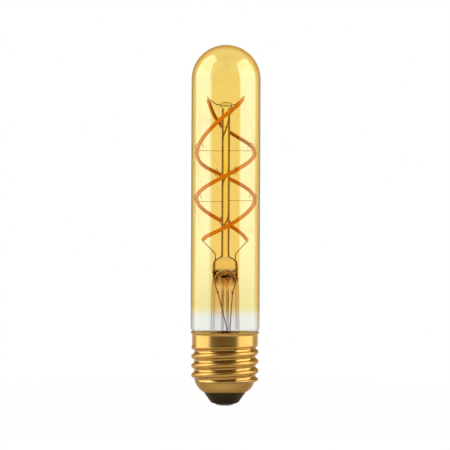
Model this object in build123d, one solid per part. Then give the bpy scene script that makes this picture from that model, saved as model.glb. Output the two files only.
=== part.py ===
from build123d import *
import math
import os

# Tubular LED filament lamp with an Edison screw cap, in millimetres.
# The origin is the lowest point of the centre contact, +Z runs up the lamp's axis, and -Y is the front.

# Glass tube
lamp_length = 140.0
tube_diameter = 26.8
glass_wall = 0.8
shoulder_lead_in = 0.9
shoulder_drop = 3.0
neck_depth = 11.1

# Screw cap
thread_crest_diameter = 26.1
thread_depth = 1.15
thread_pitch = 25.4 / 7
thread_length = 14.7
thread_phase_height = 4.7
thread_run_in = 1.1
thread_run_out = 1.5
thread_facets = 36
thread_rows_per_pitch = 6
cap_wall = 0.4
cap_opening_diameter = 16.7
bowl_height = 3.6
bowl_edge_slope = 60.0
collar_step = 0.26
collar_height = 3.7
rim_height = 1.3
rim_proud = 0.01

# Insulator and centre contact
contact_height = 0.6
contact_diameter = 6.8
contact_flat_diameter = 3.2
insulator_foot_diameter = 11.0
insulator_foot_height = 0.9
insulator_cone_height = 3.8
insulator_shoulder = 0.25
insulator_plug_height = 2.3
insulator_bore_diameter = 1.4

# Glass stem
stem_rise = 17.9
stem_top_diameter = 10.8
stem_foot_diameter = 11.6
stem_wall = 0.9
flare_radius = 4.4
press_height = 10.9
press_width = 9.9
press_thickness = 4.0
rod_diameter = 3.2
rod_headroom = 22.2
bead_diameter = 4.7
bead_height = 2.1
bead_band = 0.7
exhaust_diameter = 2.9
exhaust_wall = 0.7
exhaust_seat = 3.6
exhaust_tip_drop = 1.6
blow_hole_diameter = 1.0
blow_hole_height = 1.2

# Lead-in wires
lead_diameter = 0.4
lead_spacing = 7.8
lead_bend_radius = 1.2
seal_wire_stand = 0.3
weld_drop = 2.6
weld_diameter = 0.9
lead_front = 2.6
lead_gather_left = 0.8
lead_gather_right = 1.8

# Wound filaments, with shares of the winding's height and radius at each station's angle
filament_diameter = 1.5
filament_wall_gap = 1.4
filament_rise = 7.2
filament_overtop = 0.9
strand_angles = {
    "a": (-152, -90, 0, 90, 180, 270, 318),
    "b": (-150, -90, 0, 90, 180, 270, 325),
}
strand_height_ratios = {
    "a": (0.0, 0.085, 0.29, 0.45, 0.605, 0.885, 1.0),
    "b": (0.0, 0.115, 0.283, 0.452, 0.628, 0.795, 1.0),
}
strand_radius_ratios = (0.85, 0.965, 1.01, 1.0, 1.0, 0.955, 0.755)
strand_turn_angle = {"a": 0.0, "b": 180.0}
filament_spans_count = 11
tab_length = 1.7
tab_width = 0.7
tab_thickness = 0.3
tab_overlap = 0.5

# Support hooks
hook_diameter = 0.22
hook_angles = (-80, 7, 110, 200, 282)
hook_loop_diameter = 2.9
hook_loop_sweep = 290.0
hook_loop_inset = 0.45
hook_depth = 0.9

# Driver in the cap
board_width = 16.0
board_height = 8.0
board_thickness = 1.0
board_offset = 2.6
resistor_diameter = 2.3
resistor_length = 4.4
resistor_stand = 1.0
resistor_lead_diameter = 0.6
board_pad_height = 2.6
rectifier_size = (4.7, 2.4, 3.9)
capacitor_size = (5.0, 2.6, 4.2)
chip_size = (4.9, 1.5, 3.9)
component_height = 1.2
component_offset = 5.5
shell_lead_diameter = 0.5

# Clearances
neck_clearance = 0.25
rim_seat_clearance = 0.15
plug_clearance = 0.05
cement_clearance = 0.02
solder_gap = 0.02

# Heights worked out from the cap upwards
insulator_foot_top = contact_height + insulator_foot_height
cap_bottom = insulator_foot_top + insulator_cone_height
plug_top = cap_bottom + insulator_plug_height
thread_bottom = cap_bottom + bowl_height
thread_top = thread_bottom + thread_length
collar_top = thread_top + collar_height
rim_top = collar_top + rim_height
neck_straight = rim_top - shoulder_drop
neck_bottom = rim_top - neck_depth
press_bottom = rim_top + stem_rise
press_top = press_bottom + press_height
rod_top = lamp_length - rod_headroom
bead_middle = rod_top - bead_height / 2
filament_bottom = press_top + filament_rise
filament_top = rod_top + filament_overtop

# Radii
tube_radius = tube_diameter / 2
crest_radius = thread_crest_diameter / 2
root_radius = crest_radius - thread_depth
collar_radius = crest_radius - collar_step
rim_radius = tube_radius + rim_proud
cap_opening_radius = cap_opening_diameter / 2
bowl_radius = (root_radius - cap_opening_radius) / (1 - math.cos(math.radians(bowl_edge_slope)))
bowl_middle = cap_bottom + bowl_radius * math.sin(math.radians(bowl_edge_slope))
neck_radius = root_radius - cap_wall - neck_clearance
rim_seat_radius = rim_radius - cap_wall - rim_seat_clearance
shoulder_top = rim_top + shoulder_lead_in + abs(tube_radius - rim_seat_radius)
winding_radius = tube_radius - glass_wall - filament_wall_gap
exhaust_radius = exhaust_diameter / 2
exhaust_top = press_bottom + exhaust_seat
exhaust_tip = neck_bottom - stem_wall - exhaust_tip_drop
seal_wire_top = press_top + seal_wire_stand
weld_height = press_bottom - weld_drop


def turned(outline):
    """Solid turned about the lamp's axis from a closed outline of radius and height."""
    return revolve(Plane.XZ * make_face(outline), Axis.Z)


def round_wire(path, diameter):
    """Round wire along a path of straight runs and arcs."""
    section = Plane(origin=path @ 0, z_dir=path % 0) * Circle(diameter / 2)
    return sweep(section, path=path)


def bulb_body(inset, bottom):
    """Domed tube with its shoulder drawn in to the neck, all surfaces set in by the inset."""
    radius = tube_radius - inset
    dome_middle = lamp_length - tube_radius
    slant = radius * math.sqrt(0.5)
    outline = ThreePointArc((0, dome_middle + radius), (slant, dome_middle + slant), (radius, dome_middle))
    outline += Line((radius, dome_middle), (radius, shoulder_top))
    outline += Spline(
        (radius, shoulder_top),
        (rim_seat_radius - inset, rim_top),
        (neck_radius - inset, neck_straight),
        tangents=((0, -1), (0, -1)),
    )
    outline += Polyline(
        (neck_radius - inset, neck_straight),
        (neck_radius - inset, bottom),
        (0, bottom),
        (0, dome_middle + radius),
    )
    return turned(outline)


def glass_envelope():
    return bulb_body(0, neck_bottom) - bulb_body(glass_wall, neck_bottom - glass_wall)


def ease(value, start, end):
    """Smooth step from 0 at the start to 1 at the end."""
    share = min(max((value - start) / (end - start), 0), 1)
    return share * share * (3 - 2 * share)


def bowl_reach(height):
    """Outer radius of the rounded lower end of the shell, which runs up into the thread's roots."""
    drop = max(bowl_middle - height, 0)
    return root_radius - bowl_radius + math.sqrt(bowl_radius**2 - drop**2)


def thread_ridge(angle, height):
    """Rise of the rolled ridge above the root, round at crest and root, on a right-hand helix."""
    quarter = thread_pitch / 4
    arc = (quarter**2 + (thread_depth / 2) ** 2) / thread_depth
    crest = thread_bottom + thread_phase_height + thread_pitch * angle / 360
    away = abs((height - crest + thread_pitch / 2) % thread_pitch - thread_pitch / 2)
    if away < quarter:
        return thread_depth - arc + math.sqrt(arc**2 - away**2)
    return arc - math.sqrt(arc**2 - (thread_pitch / 2 - away) ** 2)


def shell_radius(angle, height):
    """Outer radius in the threaded length, running in from the bowl and out into the plain collar."""
    threaded = bowl_reach(height) + thread_ridge(angle, height) * ease(
        height, thread_bottom, thread_bottom + thread_run_in
    )
    collar_share = ease(height, thread_top - thread_run_out, thread_top)
    return threaded * (1 - collar_share) + collar_radius * collar_share


def triangle(first, second, third):
    return Face(Wire.make_polygon([first, second, third], close=True))


def threaded_band():
    """Sheet of even thickness with the thread rolled into it, as small flat facets."""
    rows = round(thread_length / thread_pitch * thread_rows_per_pitch)

    def ring(inset, row):
        height = thread_bottom + thread_length * row / rows
        points = []
        for step in range(thread_facets):
            angle = 360 * step / thread_facets
            radius = shell_radius(angle, height) - inset
            points.append(Vector(radius, 0, height).rotate(Axis.Z, angle))
        return points

    faces = []
    for inset in (0, cap_wall):
        rings = [ring(inset, row) for row in range(rows + 1)]
        for lower, upper in zip(rings, rings[1:]):
            for step in range(thread_facets):
                after = (step + 1) % thread_facets
                faces.append(triangle(lower[step], lower[after], upper[after]))
                faces.append(triangle(lower[step], upper[after], upper[step]))
    for row in (0, rows):
        outer = Wire.make_polygon(ring(0, row), close=True)
        inner = Wire.make_polygon(ring(cap_wall, row), close=True)
        faces.append(Face(outer, [inner]))
    return Solid(Shell(faces))


def cap_shell():
    """Brass shell: rounded lower end, rolled thread, plain collar and flared rim."""
    half_way = (cap_bottom + thread_bottom) / 2
    bowl_top = bowl_reach(thread_bottom)
    bowl = ThreePointArc(
        (cap_opening_radius, cap_bottom), (bowl_reach(half_way), half_way), (bowl_top, thread_bottom)
    )
    bowl += Line((bowl_top, thread_bottom), (bowl_top - cap_wall, thread_bottom))
    bowl += ThreePointArc(
        (bowl_top - cap_wall, thread_bottom),
        (bowl_reach(half_way) - cap_wall, half_way),
        (cap_opening_radius - cap_wall, cap_bottom),
    )
    bowl += Line((cap_opening_radius - cap_wall, cap_bottom), (cap_opening_radius, cap_bottom))
    collar = Polyline(
        (collar_radius - cap_wall, thread_top),
        (collar_radius, thread_top),
        (collar_radius, collar_top),
        (rim_radius, rim_top),
        (rim_radius - cap_wall, rim_top),
        (collar_radius - cap_wall, collar_top),
        (collar_radius - cap_wall, thread_top),
    )
    return threaded_band() + turned(bowl) + turned(collar)


def cap_insulator():
    """Black glass button that carries the contact: a cone outside and a plug inside the shell."""
    bore = insulator_bore_diameter / 2
    foot = insulator_foot_diameter / 2
    contact_edge = contact_diameter / 2
    shoulder = cap_opening_radius - cap_wall + insulator_shoulder
    plug = cap_opening_radius - cap_wall - plug_clearance
    outline = Polyline((bore, contact_height), (contact_edge, contact_height))
    outline += ThreePointArc(
        (contact_edge, contact_height),
        ((contact_edge + 2 * foot) / 3, contact_height + insulator_foot_height * 0.45),
        (foot, insulator_foot_top),
    )
    outline += Polyline(
        (foot, insulator_foot_top),
        (shoulder, cap_bottom),
        (plug, cap_bottom),
        (plug, plug_top),
        (bore, plug_top),
        (bore, contact_height),
    )
    return turned(outline)


def centre_contact():
    """Domed solder contact with a small worn flat."""
    edge = contact_diameter / 2
    flat = contact_flat_diameter / 2
    outline = Line((0, 0), (flat, 0))
    outline += ThreePointArc((flat, 0), ((flat + edge) / 2, contact_height * 0.36), (edge, contact_height))
    outline += Polyline((edge, contact_height), (0, contact_height), (0, 0))
    return turned(outline)


def cap_cement():
    """Ring of basing cement between the neck and the collar."""
    outer = collar_radius - cap_wall - cement_clearance
    return turned(
        Polyline(
            (neck_radius, thread_top),
            (outer, thread_top),
            (outer, neck_straight),
            (neck_radius, neck_straight),
            (neck_radius, thread_top),
        )
    )


def flare_tube():
    """Stem tube that widens downwards and turns out to a lip under the end of the neck."""
    top = stem_top_diameter / 2
    foot = stem_foot_diameter / 2
    arc_top = neck_bottom + flare_radius
    arc_middle = foot + flare_radius
    slant = math.sqrt(0.5)
    under = flare_radius + stem_wall
    lip_bottom = neck_bottom - stem_wall
    outline = Line((top, press_bottom), (foot, arc_top))
    outline += ThreePointArc(
        (foot, arc_top),
        (arc_middle - flare_radius * slant, arc_top - flare_radius * slant),
        (arc_middle, neck_bottom),
    )
    outline += Polyline(
        (arc_middle, neck_bottom),
        (neck_radius, neck_bottom),
        (neck_radius, lip_bottom),
        (arc_middle, lip_bottom),
    )
    outline += ThreePointArc(
        (arc_middle, lip_bottom),
        (arc_middle - under * slant, arc_top - under * slant),
        (foot - stem_wall, arc_top),
    )
    outline += Polyline((foot - stem_wall, arc_top), (top - stem_wall, press_bottom), (top, press_bottom))
    return turned(outline)


def oval_loft(sections):
    """Solid through ovals, each given as a height above the press, a width and a thickness."""
    ovals = []
    for rise, wide, thick in sections:
        ovals.append(Pos(0, 0, press_bottom + rise) * Ellipse(wide / 2, thick / 2))
    return loft(ovals)


def stem_flare(wires):
    """Flare tube closed at its top by the flat press, with room for the wires and the exhaust tube."""
    press = oval_loft(
        (
            (0, stem_top_diameter, stem_top_diameter),
            (press_height * 0.07, stem_top_diameter * 0.98, stem_top_diameter * 0.9),
            (press_height * 0.20, press_width * 0.98, press_thickness * 1.5),
            (press_height * 0.40, press_width, press_thickness * 1.05),
            (press_height * 0.68, press_width, press_thickness),
            (press_height * 0.88, press_width * 0.86, press_thickness * 0.95),
            (press_height, rod_diameter * 1.5, rod_diameter * 1.05),
        )
    )
    bore = stem_top_diameter - 2 * stem_wall
    hollow = oval_loft(
        (
            (0, bore, bore),
            (press_height * 0.17, press_width * 0.78, press_thickness),
            (press_height * 0.30, press_width * 0.45, press_thickness * 0.45),
        )
    )
    seat = Pos(0, 0, exhaust_top) * Cylinder(
        exhaust_radius, exhaust_seat, align=(Align.CENTER, Align.CENTER, Align.MAX)
    )
    pocket_radius = exhaust_radius - exhaust_wall
    pocket = Pos(0, 0, exhaust_top) * Cylinder(
        pocket_radius, blow_hole_height, align=(Align.CENTER, Align.CENTER, Align.MIN)
    )
    blow_hole = Pos(0, 0, exhaust_top + blow_hole_height / 2) * Rot(90, 0, 0) * Cylinder(
        blow_hole_diameter / 2, press_thickness, align=(Align.CENTER, Align.CENTER, Align.MIN)
    )
    stem = flare_tube() + press - hollow - seat - pocket - blow_hole
    for wire in wires:
        stem -= wire
    return stem


def exhaust_tube():
    """Pumping tube, sealed to a round tip below the stem."""
    bore = exhaust_radius - exhaust_wall
    slant = math.sqrt(0.5)
    outer_middle = exhaust_tip + exhaust_radius
    inner_middle = exhaust_tip + exhaust_wall + bore
    outline = ThreePointArc(
        (0, exhaust_tip),
        (exhaust_radius * slant, outer_middle - exhaust_radius * slant),
        (exhaust_radius, outer_middle),
    )
    outline += Polyline(
        (exhaust_radius, outer_middle),
        (exhaust_radius, exhaust_top),
        (bore, exhaust_top),
        (bore, inner_middle),
    )
    outline += ThreePointArc(
        (bore, inner_middle), (bore * slant, inner_middle - bore * slant), (0, inner_middle - bore)
    )
    outline += Line((0, inner_middle - bore), (0, exhaust_tip))
    return turned(outline)


def support_rod(wires):
    """Glass rod with a bead melted on its top, and a hole for each wire set in it."""
    rod = rod_diameter / 2
    bead = bead_diameter / 2
    bead_bottom = rod_top - bead_height
    band = bead_band / 2
    outline = Polyline(
        (0, press_top),
        (rod, press_top),
        (rod, bead_bottom),
        (bead, bead_middle - band),
        (bead, bead_middle + band),
    )
    dome = rod_top - bead_middle - band
    dome_radius = (bead**2 + dome**2) / (2 * dome)
    half_way = math.asin(bead / dome_radius) / 2
    outline += ThreePointArc(
        (bead, bead_middle + band),
        (dome_radius * math.sin(half_way), rod_top - dome_radius * (1 - math.cos(half_way))),
        (0, rod_top),
    )
    outline += Line((0, rod_top), (0, press_top))
    body = turned(outline)
    for wire in wires:
        body -= wire
    return body


def strand_place(name, angle):
    """Point of a strand's centre line at an angle, on a smooth cubic through the strand's stations."""
    angles = strand_angles[name]
    index = 0
    while index < len(angles) - 2 and angle > angles[index + 1]:
        index += 1
    span = angles[index + 1] - angles[index]
    t = (angle - angles[index]) / span

    def slope(ratios, station):
        before = max(station - 1, 0)
        after = min(station + 1, len(angles) - 1)
        return (ratios[after] - ratios[before]) / (angles[after] - angles[before])

    def share(ratios):
        return (
            (1 + 2 * t) * (1 - t) ** 2 * ratios[index]
            + t * (1 - t) ** 2 * span * slope(ratios, index)
            + t * t * (3 - 2 * t) * ratios[index + 1]
            + t * t * (t - 1) * span * slope(ratios, index + 1)
        )

    height = filament_bottom + (filament_top - filament_bottom) * share(strand_height_ratios[name])
    radius = winding_radius * share(strand_radius_ratios)
    return Vector(radius, 0, height).rotate(Axis.Z, angle + strand_turn_angle[name])


def strand_direction(name, angle):
    """Unit direction of a strand at an angle, pointing up the winding."""
    step = 0.5
    low = max(angle - step, strand_angles[name][0])
    high = min(angle + step, strand_angles[name][-1])
    return (strand_place(name, high) - strand_place(name, low)).normalized()


def arc_pair(start, start_way, end, end_way):
    """Two arcs that meet smoothly and leave and reach their ends in the given directions."""
    across = end - start
    ways = start_way + end_way
    bend = 2 * (1 - start_way.dot(end_way))
    reach = (math.sqrt(across.dot(ways) ** 2 + bend * across.dot(across)) - across.dot(ways)) / bend
    meeting = (start + end + (start_way - end_way) * reach) * 0.5
    leaving = Edge.make_tangent_arc(start, start_way, meeting)
    reaching = Edge.make_tangent_arc(end, end_way * -1, meeting)
    return [leaving, reaching]


def filament(name):
    """One strand wound round the rod, with a run of smooth arcs as its centre line."""
    first, last = strand_angles[name][0], strand_angles[name][-1]
    span = (last - first) / filament_spans_count
    angles = [first + span * step for step in range(filament_spans_count + 1)]
    edges = []
    for low, high in zip(angles, angles[1:]):
        edges += arc_pair(
            strand_place(name, low),
            strand_direction(name, low),
            strand_place(name, high),
            strand_direction(name, high),
        )
    section = Plane(origin=strand_place(name, first), z_dir=strand_direction(name, first))
    return sweep(section * Circle(filament_diameter / 2), path=Wire(edges))


def strand_end(name, end):
    """End point of a strand and the direction that leads out of it."""
    angle = strand_angles[name][-1 if end == "top" else 0]
    way = strand_direction(name, angle)
    return strand_place(name, angle), way if end == "top" else way * -1


def tab_tip(name, end):
    """Middle of the joint between a strand's end tab and its wire."""
    place, way = strand_end(name, end)
    return place + way * (tab_length - tab_overlap)


def filament_tab(name, end, wire):
    """Flat metal tab on a strand's end, hollowed where its wire is welded across it."""
    place, way = strand_end(name, end)
    outward = Vector(place.X, place.Y, 0).normalized()
    strip = Plane(origin=place, x_dir=way.cross(outward), z_dir=way) * Box(
        tab_width, tab_thickness, tab_length, align=(Align.CENTER, Align.CENTER, Align.MIN)
    )
    pieces = (strip - wire).solids()
    return min(pieces, key=lambda piece: (piece.center() - place).length)


def support_hook(name, angle):
    """Thin wire out of the rod, with a ring at its end that the strand passes through."""
    place = strand_place(name, angle)
    outward = Vector(place.X, place.Y, 0).normalized()
    loop = hook_loop_diameter / 2
    ring_middle = math.hypot(place.X, place.Y) - hook_loop_inset
    start = rod_diameter / 2 - hook_depth
    route = Line((start, place.Z - loop), (ring_middle, place.Z - loop))
    route += CenterArc((ring_middle, place.Z), loop, -90, hook_loop_sweep)
    side = Plane(origin=(0, 0, 0), x_dir=outward, z_dir=outward.cross(Vector(0, 0, 1)))
    return round_wire(side * route, hook_diameter)


def top_wire():
    """Wire through the bead that joins the top ends of the two strands."""
    elbow = bead_diameter / 2 + lead_bend_radius
    points = [tab_tip("a", "top"), (elbow, 0, bead_middle), (-elbow, 0, bead_middle), tab_tip("b", "top")]
    first_way = (points[0] - Vector(points[1])).normalized()
    last_way = (points[3] - Vector(points[2])).normalized()
    points[0] += first_way * tab_width
    points[3] += last_way * tab_width
    return round_wire(FilletPolyline(*points, radius=lead_bend_radius), lead_diameter)


def seal_wire(side):
    """Copper-clad wire sealed in the press, bent in below it to its weld."""
    across = side * lead_spacing / 2
    path = FilletPolyline(
        (across, 0, seal_wire_top),
        (across, 0, press_bottom + lead_bend_radius / 2),
        (across * 0.72, -lead_front / 3, weld_height),
        radius=lead_bend_radius,
    )
    return round_wire(path, lead_diameter)


def inner_lead(side, name):
    """Wire from the press up to a strand's bottom end."""
    across = side * lead_spacing / 2
    tip = tab_tip(name, "bottom")
    elbow = Vector(across, 0, seal_wire_top + lead_bend_radius)
    way = (tip - elbow).normalized()
    path = FilletPolyline(
        (across, 0, seal_wire_top), elbow, tip + way * tab_width, radius=lead_bend_radius * 0.9
    )
    return round_wire(path, lead_diameter)


def outer_lead(side, gather, seal):
    """Wire from the weld bead down beside the exhaust tube to its pad on the board."""
    weld = Vector(side * lead_spacing / 2 * 0.72, -lead_front / 3, weld_height)
    pad = board_offset - lead_diameter / 2 - solder_gap
    pad_across = side * lead_spacing * 0.42
    path = FilletPolyline(
        weld,
        (gather, -lead_front, rim_top + lead_bend_radius),
        (pad_across, -lead_front * 0.6, neck_bottom + flare_radius),
        (pad_across, pad, plug_top + board_height),
        (pad_across, pad, plug_top + board_height - board_pad_height),
        radius=lead_bend_radius,
    )
    bead = Pos(weld.X, weld.Y, weld.Z) * Sphere(weld_diameter / 2)
    return round_wire(path, lead_diameter) + bead - seal


def on_board(size, across, face):
    """Moulded component with its back on one face of the board."""
    wide, deep, high = size
    middle = board_offset - deep / 2 if face == "front" else board_offset + board_thickness + deep / 2
    return Pos(across, middle, plug_top + component_height + high / 2) * Box(wide, deep, high)


def driver_board():
    """Upright circuit board that stands on the insulator's plug."""
    return Pos(0, board_offset, plug_top) * Box(
        board_width, board_thickness, board_height, align=(Align.CENTER, Align.MIN, Align.MIN)
    )


def fuse_resistor():
    """Resistor in the feed from the centre contact, its lower lead down the insulator's bore."""
    body_bottom = plug_top + resistor_stand
    body_top = body_bottom + resistor_length
    body = Pos(0, 0, body_bottom) * Cylinder(
        resistor_diameter / 2, resistor_length, align=(Align.CENTER, Align.CENTER, Align.MIN)
    )
    lead_top = body_top + resistor_lead_diameter
    lead = FilletPolyline(
        (0, 0, contact_height),
        (0, 0, lead_top),
        (0, board_offset, lead_top),
        radius=resistor_lead_diameter * 0.8,
    )
    return body + round_wire(lead, resistor_lead_diameter)


def shell_lead():
    """Wire from the board's edge to a root of the thread, where it is soldered to the shell."""
    start = Vector(board_width / 2, board_offset + board_thickness / 2, 0)
    angle = math.degrees(math.atan2(start.Y, start.X))
    root = thread_bottom + thread_phase_height + thread_pitch * (angle / 360 - 0.5)
    outward = start.normalized()
    end = outward * ((root_radius - cap_wall) * math.cos(math.pi / thread_facets) - solder_gap)
    path = Line((start.X, start.Y, root), (end.X, end.Y, root))
    wire = round_wire(path, shell_lead_diameter)
    return wire - driver_board()


lead_of_strand = {"a": -1, "b": 1}
side_name = {-1: "left", 1: "right"}
gather_of_side = {-1: lead_gather_left, 1: lead_gather_right}

nodes = {}
link = top_wire()
nodes["top_link_wire"] = link
for strand, side in lead_of_strand.items():
    name = side_name[side]
    lead = inner_lead(side, strand)
    seal = seal_wire(side)
    nodes[f"inner_lead_{name}"] = lead
    nodes[f"seal_wire_{name}"] = seal
    nodes[f"outer_lead_{name}"] = outer_lead(side, gather_of_side[side], seal)
    nodes[f"filament_{strand}"] = filament(strand)
    nodes[f"filament_tab_{strand}_bottom"] = filament_tab(strand, "bottom", lead)
    nodes[f"filament_tab_{strand}_top"] = filament_tab(strand, "top", link)

hooks = []
for level, angle in enumerate(hook_angles, start=1):
    for strand in strand_angles:
        hook = support_hook(strand, angle)
        hooks.append(hook)
        nodes[f"support_hook_{strand}_{level}"] = hook

nodes["glass_envelope"] = glass_envelope()
nodes["stem_flare"] = stem_flare([nodes["seal_wire_left"], nodes["seal_wire_right"]])
nodes["exhaust_tube"] = exhaust_tube()
nodes["support_rod"] = support_rod(hooks + [link])
nodes["cap_shell"] = cap_shell()
nodes["cap_insulator"] = cap_insulator()
nodes["centre_contact"] = centre_contact()
nodes["cap_cement"] = cap_cement()
nodes["driver_board"] = driver_board()
nodes["bridge_rectifier"] = on_board(rectifier_size, -component_offset, "front")
nodes["smoothing_capacitor"] = on_board(capacitor_size, component_offset, "front")
nodes["driver_chip"] = on_board(chip_size, 0, "back")
nodes["fuse_resistor"] = fuse_resistor()
nodes["shell_lead"] = shell_lead()

os.makedirs("parts", exist_ok=True)
for name, shape in nodes.items():
    export_step(shape, f"parts/{name}.step")
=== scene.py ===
# %% [markdown]
# # A tubular filament lamp
# The lamp is a straight amber glass tube with a domed end. Two light strands are wound round a
# glass rod inside it, and a brass screw cap closes its foot. The solids of every piece come from
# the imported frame. This lesson dresses them, and remakes in fine mesh the pieces whose smooth gloss
# shows every facet: the glass, the shell, the insulator and the contact.

# %% Load the frame
import math

import bmesh
import bpy
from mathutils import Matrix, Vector


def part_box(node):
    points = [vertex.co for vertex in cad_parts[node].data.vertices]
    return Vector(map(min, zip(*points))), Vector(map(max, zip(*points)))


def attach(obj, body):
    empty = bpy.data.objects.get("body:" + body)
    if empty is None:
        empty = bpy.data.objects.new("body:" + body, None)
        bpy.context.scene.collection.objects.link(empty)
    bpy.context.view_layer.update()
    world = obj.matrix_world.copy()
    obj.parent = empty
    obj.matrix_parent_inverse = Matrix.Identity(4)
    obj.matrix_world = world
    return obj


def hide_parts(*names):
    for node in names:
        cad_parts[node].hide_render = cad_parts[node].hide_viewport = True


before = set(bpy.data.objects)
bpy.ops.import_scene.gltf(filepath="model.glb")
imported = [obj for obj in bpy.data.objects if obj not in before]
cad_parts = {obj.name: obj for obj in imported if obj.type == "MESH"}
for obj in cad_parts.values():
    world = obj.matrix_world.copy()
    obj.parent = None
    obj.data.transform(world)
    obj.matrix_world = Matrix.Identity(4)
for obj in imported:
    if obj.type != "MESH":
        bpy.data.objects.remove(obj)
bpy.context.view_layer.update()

scene = bpy.context.scene
scene.view_settings.view_transform = "Standard"
MM = 0.001

# %% [markdown]
# ## Round pieces from rings
# Glass and turned metal are round about the lamp's axis, so a piece can be a stack of rings. Each
# ring is a list of points at one level, and neighbouring rings are joined by quads. A screw modifier
# would do for a plain turned shape, but the flat press is oval and the thread changes with the
# angle, so rings made in code serve all of them.

# %% Ring stack
AROUND = 144


def oval(half_wide, half_deep, height, count=AROUND):
    """One ring of points: an oval about the axis, in millimetres."""
    turns = [2 * math.pi * i / count for i in range(count)]
    return [Vector((half_wide * math.cos(t), half_deep * math.sin(t), height)) for t in turns]


def pole(height):
    """Ring of one point, where a skin closes on the axis."""
    return [Vector((0, 0, height))]


def skin(bm, rings, closed=False):
    """Joins rings by quads that look outwards. Closed joins the last ring to the first."""
    made = [[bm.verts.new(p * MM) for p in ring] for ring in rings]
    pairs = list(zip(made, made[1:])) + ([(made[-1], made[0])] if closed else [])
    for low, high in pairs:
        for i in range(max(len(low), len(high))):
            corners = [low[i % len(low)], low[(i + 1) % len(low)]]
            corners += [high[(i + 1) % len(high)], high[i % len(high)]]
            bm.faces.new(dict.fromkeys(corners))
    bmesh.ops.recalc_face_normals(bm, faces=bm.faces)


print("points in a ring:", len(oval(1, 1, 0)))

# %% [markdown]
# ## From rings to a piece of the lamp
# A blown or turned piece is smooth all over and has a crease only at its true edges. Shading every
# face smooth and marking the steep edges as sharp gives both. A bevel modifier would round the edges
# as well, but adds faces to each of them. The piece then rides on the lamp's body, so it goes where
# the lamp goes.

# %% Finish a piece
crease_angle = 40


def finish_piece(name, bm, sharp_above=crease_angle):
    """Turns a bmesh into a smooth-shaded piece that rides on the lamp."""
    mesh = bpy.data.meshes.new(name)
    bm.to_mesh(mesh)
    bm.free()
    mesh.polygons.foreach_set("use_smooth", [True] * len(mesh.polygons))
    mesh.set_sharp_from_angle(angle=math.radians(sharp_above))
    piece = bpy.data.objects.new(name, mesh)
    scene.collection.objects.link(piece)
    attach(piece, "root")
    print(name, "faces", len(mesh.polygons))
    return piece


print("edges are creased above", crease_angle, "degrees")

# %% [markdown]
# ## Outlines through stations
# The shoulder of the tube, the press and the rim of the cap are soft outlines that pass through a
# few known stations. A plain spline may bulge between two of them. Here the slope at a station comes
# from the steps before and after it, and is level at a turning point, so the outline never
# overshoots.

# %% Smooth outline


def station_slope(stations, i, k):
    """Change of value k at station i. It is level at the ends and at turning points."""
    if i in (0, len(stations) - 1):
        return 0.0
    before = stations[i][k] - stations[i - 1][k]
    after = stations[i + 1][k] - stations[i][k]
    return 0.0 if before * after <= 0 else 2 * before * after / (before + after)


def curve_through(stations, steps):
    """Smooth run of values through stations, each a tuple, with some steps between neighbours."""
    run = []
    for i in range(len(stations) - 1):
        for step in range(steps):
            t = step / steps
            run.append(tuple(
                (1 + 2 * t) * (1 - t) ** 2 * a + t * (1 - t) ** 2 * station_slope(stations, i, k)
                + t * t * (3 - 2 * t) * b + t * t * (t - 1) * station_slope(stations, i + 1, k)
                for k, (a, b) in enumerate(zip(stations[i], stations[i + 1]))
            ))
    return run + [tuple(stations[-1])]


print("a rise from 0 to 1 in two steps:", curve_through([(0.0,), (1.0,)], 2))

# %% [markdown]
# ## The glass tube
# The real tube is drawn glass, 0.8 mm thick, with one end melted to a dome and the other drawn in to
# a neck that is cemented into the cap. Glass needs both its faces: light bends on the way in and on
# the way out, so the tube is one closed skin that goes down the outside and back up the inside.
# Outside and inside get a finish of their own, so the faces are numbered by the way they look.

# %% Tube outline
low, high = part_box("glass_envelope")
tube_top, tube_foot = high.z / MM, low.z / MM
tube_radius = high.x / MM
wall = 0.8
neck_radius, seat_radius = 11.25, 12.86
shoulder_top, seat_height, neck_top = 30.04, 28.6, 25.6
dome_centre = tube_top - tube_radius
dome_steps, side_steps, shoulder_steps, neck_steps = 32, 24, 9, 4

outer = []
for step in range(1, dome_steps + 1):
    rise = math.radians(90 * (1 - step / dome_steps))
    outer.append((tube_radius * math.cos(rise), dome_centre + tube_radius * math.sin(rise)))
side_drop, neck_drop = shoulder_top - dome_centre, tube_foot - neck_top
outer += [(tube_radius, dome_centre + side_drop * i / side_steps) for i in range(1, side_steps)]
outer += [(tube_radius, shoulder_top + above) for above in (0.5, 0.15)]
shoulder = [(tube_radius, shoulder_top), (seat_radius, seat_height), (neck_radius, neck_top)]
outer += curve_through(shoulder, shoulder_steps)
outer += [(neck_radius, neck_top + neck_drop * i / neck_steps) for i in range(1, neck_steps + 1)]

inner = []
inner_share = (tube_radius - wall) / tube_radius
for radius, height in reversed(outer):
    if height > dome_centre:
        inner.append((radius * inner_share, dome_centre + (height - dome_centre) * inner_share))
    else:
        inner.append((radius - wall, height))
print("tube radius", round(tube_radius, 2), "mm, rings:", len(outer), "outside,", len(inner), "inside")

# %% Tube mesh
outside_zone, inside_zone = range(2)
bm = bmesh.new()
skin(bm, [pole(tube_top)] + [oval(r, r, z) for r, z in outer + inner] + [pole(tube_top - wall)])
for face in bm.faces:
    middle = face.calc_center_median()
    outward = middle - Vector((0, 0, min(middle.z, dome_centre * MM)))
    face.material_index = outside_zone if face.normal.dot(outward) > 0 else inside_zone
glass_tube = finish_piece("glass_tube", bm)
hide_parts("glass_envelope")

# %% [markdown]
# ## The stem, all one glass
# In the flame, the flare tube, the press, the exhaust tube and the rod melt into one piece of glass.
# Separate meshes would leave touching faces inside it, and each would show as a bright line. So one
# skin starts at the bead on top of the rod, runs down over the oval press and the flare, turns under
# the lip, climbs inside the flare, and comes down again on the exhaust tube.

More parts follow.
